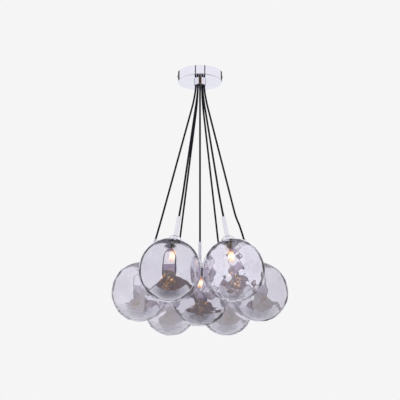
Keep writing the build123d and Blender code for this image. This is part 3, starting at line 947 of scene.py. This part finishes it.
# %% Glow of the capsules
BRIGHT = ("front_left", "front_right", "centre")
BRIGHT_STRENGTH = 3.2
FAINT_STRENGTH = 0.6
GLOW_REACH = 0.0100
END_COLOUR = (0.22, 0.075, 0.010)
WARM_COLOUR = (0.80, 0.40, 0.12)
HOT_COLOUR = (1.0, 0.72, 0.38)
WARM_EDGES = (0.05, 0.6)
HOT_EDGES = (0.55, 0.95)


def lamp_glow(name, strength):
    """Lamp glass that glows white-yellow round its filament and amber towards its ends."""
    material, g, shader = new_material(
        name, Base_Color=(0.45, 0.28, 0.12), Roughness=0.25, Emission_Strength=strength)
    hot = g.node("ShaderNodeAttribute", {"attribute_name": "near_filament"}, output="Fac")
    warm = g.blend(hot.ramp(*WARM_EDGES), END_COLOUR, WARM_COLOUR)
    feed(g, shader, Emission_Color=g.blend(hot.ramp(*HOT_EDGES), warm, HOT_COLOUR))
    return material


bright_glow = lamp_glow("bright_lamp_glow", BRIGHT_STRENGTH)
faint_glow = lamp_glow("faint_lamp_glow", FAINT_STRENGTH)
for drop in drops:
    mesh = lamps[drop.name].data
    up = (mesh_points(mesh) - drop.centre) @ drop.up
    heat = np.exp(-(((up - filament_height) / GLOW_REACH) ** 2)).astype(np.float32)
    mesh.attributes.new("near_filament", "FLOAT", "POINT").data.foreach_set("value", heat)
    mesh.materials.append(bright_glow if drop.name in BRIGHT else faint_glow)
print("bright lamps:", len(BRIGHT), "and faint ones:", len(drops) - len(BRIGHT))

# %% Filament, foot and pins
FILAMENT_STRENGTH = 20.0
wire_light = new_material(
    "filament", Base_Color=(1.0, 0.8, 0.5),
    Emission_Color=(1.0, 0.78, 0.42), Emission_Strength=FILAMENT_STRENGTH)[0]
foot_glass = new_material(
    "foot_glass", Base_Color=(0.95, 0.93, 0.9), Roughness=0.08, Transmission_Weight=0.7, IOR=GLASS_IOR)[0]
pin_metal = new_material("pin_metal", Base_Color=(0.62, 0.6, 0.56), Metallic=1.0, Roughness=0.35)[0]
for drop in drops:
    bpy.data.objects["lamp_filament_" + drop.name].data.materials.append(wire_light)
    bpy.data.objects["lamp_foot_" + drop.name].data.materials.append(foot_glass)
    for end in "ab":
        bpy.data.objects[f"lamp_pin_{end}_{drop.name}"].data.materials.append(pin_metal)
print("lamps lit:", len(drops))

# %% [markdown]
# ## Chrome, flex and the small parts
# Polished chrome is a mirror with a faint blue-grey cast. A real one is never perfect: wiped smudges blur
# the reflection a little here and there. Black cotton braid is nearly without shine, and its threads differ
# a little. The small parts are zinc plate, brass, plastic, glazed ceramic and silicone. They are hardly
# seen, so that one function makes them all: two near tones that drift into each other, with a shine that
# drifts along.

# %% Chrome
SMUDGE_SCALE = 60.0
TONE_EDGES = (0.35, 0.75)
BLUR_EDGES = (0.4, 0.8)
CLEAN_ROUGHNESS = 0.025
SMUDGED_ROUGHNESS = 0.07
chrome, g, shader = new_material("chrome", Metallic=1.0)
smudge = g.noise(g.place(), SMUDGE_SCALE, detail=4.0, roughness=0.6)
tone = g.blend(smudge.ramp(*TONE_EDGES), (0.86, 0.855, 0.89), (0.90, 0.895, 0.92))
feed(g, shader, Base_Color=tone, Roughness=smudge.ramp(*BLUR_EDGES, CLEAN_ROUGHNESS, SMUDGED_ROUGHNESS))
dress(chrome, "ceiling_rose", "cord_gatherer", "cover_screws",
      *["stem_" + name for name in DROPS], *["cap_" + name for name in DROPS])
print("chrome nodes:", len(chrome.node_tree.nodes))

# %% Flex sleeve
THREAD_SCALE = 900.0
THREAD_EDGES = (0.35, 0.7)
braid, g, shader = new_material("black_braid", Roughness=0.9, Specular_IOR_Level=0.05)
thread = g.noise(g.place(), THREAD_SCALE)
tone = g.blend(thread.ramp(*THREAD_EDGES), (0.010, 0.010, 0.014), (0.020, 0.020, 0.028))
feed(g, shader, Base_Color=tone)
for sleeve in flexes:
    sleeve.data.materials.append(braid)
dress(braid, "cord_tails")
print("braided flexes:", len(flexes))

# %% Inner parts
DRIFT_EDGES = (0.3, 0.7)
DULLER = 1.4


def simple_finish(name, low, high, scale, roughness, metallic=0.0):
    """A finish whose colour drifts between two near tones and whose shine drifts with it."""
    material, g, shader = new_material(name, Metallic=metallic)
    drift = g.noise(g.place(), scale, detail=3.0)
    feed(g, shader, Base_Color=g.blend(drift.ramp(*DRIFT_EDGES), low, high),
         Roughness=drift.ramp(*DRIFT_EDGES, roughness, roughness * DULLER))
    return material


# A finish has a name, its two tones, how fine the drift is, its roughness, and 1 where it is a metal.
zinc = simple_finish("zinc_plate", (0.52, 0.53, 0.55), (0.66, 0.67, 0.68), 90.0, 0.28, 1.0)
dress(zinc, "ceiling_bracket", "gatherer_screws", "stop_screws")
brass = simple_finish("brass", (0.66, 0.47, 0.20), (0.80, 0.60, 0.30), 120.0, 0.25, 1.0)
dress(brass, "terminal_screws")
dress(simple_finish("cream_plastic", (0.72, 0.70, 0.63), (0.80, 0.78, 0.71), 60.0, 0.4), "terminal_block")
dress(simple_finish("grey_sheath", (0.26, 0.26, 0.27), (0.34, 0.34, 0.35), 80.0, 0.5), "inner_leads")
dress(simple_finish("stop_plastic", (0.60, 0.60, 0.60), (0.70, 0.70, 0.70), 80.0, 0.45), "cord_stops")
# The holder's cream glaze is made amber as well, which paints in the lamp's warm light on it.
ceramic = simple_finish("ceramic_with_painted_lamp_glow", (0.76, 0.66, 0.38), (0.88, 0.78, 0.50), 140.0, 0.22)
dress(ceramic, *["lamp_holder_" + name for name in DROPS])
silicone = simple_finish("silicone", (0.62, 0.61, 0.60), (0.70, 0.70, 0.69), 100.0, 0.5)
dress(silicone, *["seal_" + name for name in DROPS])
print("finishes:", len(bpy.data.materials))

# %% [markdown]
# ## Last settings
# Light goes through as many as twelve faces of glass before it reaches the camera, so the limits on bounces
# are raised. The view transform stays Standard, so that a colour shows as it is written.

# %% Light paths, sizes, finish
scene = bpy.context.scene
scene.view_settings.view_transform = "Standard"
scene.cycles.max_bounces = 40
scene.cycles.transmission_bounces = 40
scene.cycles.glossy_bounces = 12
scene.cycles.diffuse_bounces = 3
